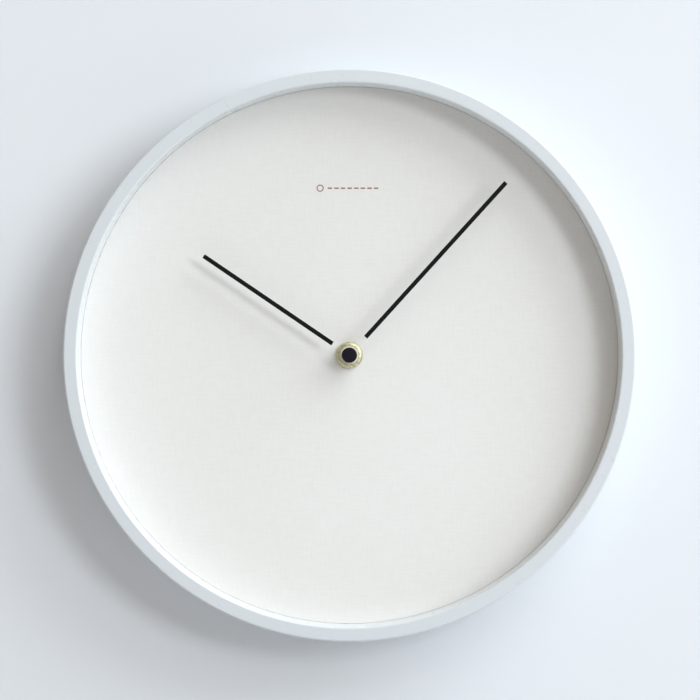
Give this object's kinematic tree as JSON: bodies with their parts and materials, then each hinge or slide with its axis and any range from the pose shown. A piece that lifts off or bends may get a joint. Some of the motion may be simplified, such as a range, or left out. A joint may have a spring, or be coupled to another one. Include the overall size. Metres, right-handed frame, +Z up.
{
  "type": "wall clock",
  "caption": "Round analogue wall clock: deep plain rim, recessed blank dial, two slim black hands on a brass hub, battery movement behind, keyhole hanger.",
  "frame": {"origin": "centre of the keyhole's entry hole, in the plane of the wall that the clock hangs on", "axes": "+Z up, +Y into the wall, the dial faces -Y, +X to the right seen from the front; the hand axis runs along Y, 120 mm below the origin"},
  "size_m": [0.3, 0.04, 0.3],
  "materials": {
    "case_plastic": "satin, lightly textured, pale cool white",
    "dial_white": "matt off-white lacquer",
    "screw_steel": "bright zinc plate",
    "hanger_steel": "zinc-plated sheet",
    "hanger_screw_brass": "yellow zinc plate",
    "movement_black": "fine spark-eroded texture",
    "brass": "bright turned brass",
    "nut_brass": "dulled olive brass, knurled",
    "gasket_rubber": "matt",
    "plate_steel": "brushed",
    "soft_iron": "blanked lamination",
    "bobbin_nylon": "natural nylon",
    "copper": "enamelled copper wire",
    "board_green": "solder mask over tracks",
    "crystal_can": "drawn can",
    "chip_black": "epoxy drop",
    "contact_nickel": "nickel-plated spring strip",
    "cell_wrap": "printed foil sleeve, plain",
    "cell_metal": "plated steel",
    "wheel_plastic": "natural acetal",
    "wheel_brass": "stamped brass",
    "rotor_blue": "coloured acetal",
    "magnet": "sintered magnet",
    "knob_red": "moulded",
    "hand_clear": "clear acrylic sheet",
    "hand_black": "satin black lacquer",
    "cap_black": "polished"
  },
  "bodies": {
    "root": {"case_ring": "case_plastic", "dial_board": "dial_white", "dial_screws": "screw_steel", "hanger_plate": "hanger_steel", "hanger_screws": "hanger_screw_brass", "movement_rear_case": "movement_black", "movement_front_case": "movement_black", "threaded_bushing": "brass", "rubber_gasket": "gasket_rubber", "brass_washer": "brass", "dial_nut": "nut_brass", "gear_plate": "plate_steel", "stator": "soft_iron", "coil_core": "soft_iron", "coil_bobbin": "bobbin_nylon", "coil_winding": "copper", "coil_screws": "screw_steel", "circuit_board": "board_green", "quartz_crystal": "crystal_can", "control_chip": "chip_black", "positive_contact": "contact_nickel", "negative_contact": "contact_nickel", "battery_cell": "cell_wrap", "battery_cap": "cell_metal"},
    "minute_hand": {"minute_arbor": "brass", "centre_wheel": "wheel_brass", "minute_hand_socket": "brass", "minute_hand_carrier": "hand_clear", "minute_hand_bar": "hand_black", "centre_cap": "cap_black"},
    "hour_hand": {"hour_wheel": "wheel_plastic", "hour_hand_socket": "brass", "hour_hand_carrier": "hand_clear", "hour_hand_bar": "hand_black"},
    "third": {"third_wheel": "wheel_plastic"},
    "second": {"second_wheel": "wheel_plastic"},
    "intermediate": {"intermediate_wheel": "wheel_plastic"},
    "rotor": {"rotor_pinion": "rotor_blue", "rotor_magnet": "magnet"},
    "motion": {"motion_wheel": "wheel_plastic"},
    "setting": {"setting_knob": "knob_red"}
  },
  "joints": [
    {"name": "minute_hand_turn", "type": "hinge", "parent": "root", "child": "minute_hand", "pos_m": [0, 0, -0.12], "axis": [0, 1, 0], "continuous": true},
    {"name": "hour_hand_turn", "type": "hinge", "parent": "root", "child": "hour_hand", "pos_m": [0, 0, -0.12], "axis": [0, 1, 0], "continuous": true},
    {"name": "third_turn", "type": "hinge", "parent": "root", "child": "third", "pos_m": [0.0051, 0, -0.11117], "axis": [0, 1, 0], "continuous": true},
    {"name": "second_turn", "type": "hinge", "parent": "root", "child": "second", "pos_m": [0, 0, -0.12], "axis": [0, 1, 0], "continuous": true},
    {"name": "intermediate_turn", "type": "hinge", "parent": "root", "child": "intermediate", "pos_m": [0.00724, 0, -0.12263], "axis": [0, 1, 0], "continuous": true},
    {"name": "rotor_turn", "type": "hinge", "parent": "root", "child": "rotor", "pos_m": [0.01243, 0, -0.11963], "axis": [0, 1, 0], "continuous": true},
    {"name": "motion_turn", "type": "hinge", "parent": "root", "child": "motion", "pos_m": [-0.0108, 0, -0.12], "axis": [0, 1, 0], "continuous": true},
    {"name": "setting_turn", "type": "hinge", "parent": "root", "child": "setting", "pos_m": [-0.02015, 0, -0.1146], "axis": [0, 1, 0], "continuous": true}
  ],
  "couplings": [
    {"joint": "hour_hand_turn", "follows": "minute_hand_turn", "ratio": 0.083333},
    {"joint": "motion_turn", "follows": "minute_hand_turn", "ratio": -0.33333},
    {"joint": "setting_turn", "follows": "minute_hand_turn", "ratio": 1},
    {"joint": "third_turn", "follows": "minute_hand_turn", "ratio": -7.5},
    {"joint": "second_turn", "follows": "minute_hand_turn", "ratio": 60},
    {"joint": "intermediate_turn", "follows": "minute_hand_turn", "ratio": -360},
    {"joint": "rotor_turn", "follows": "minute_hand_turn", "ratio": 1800}
  ]
}
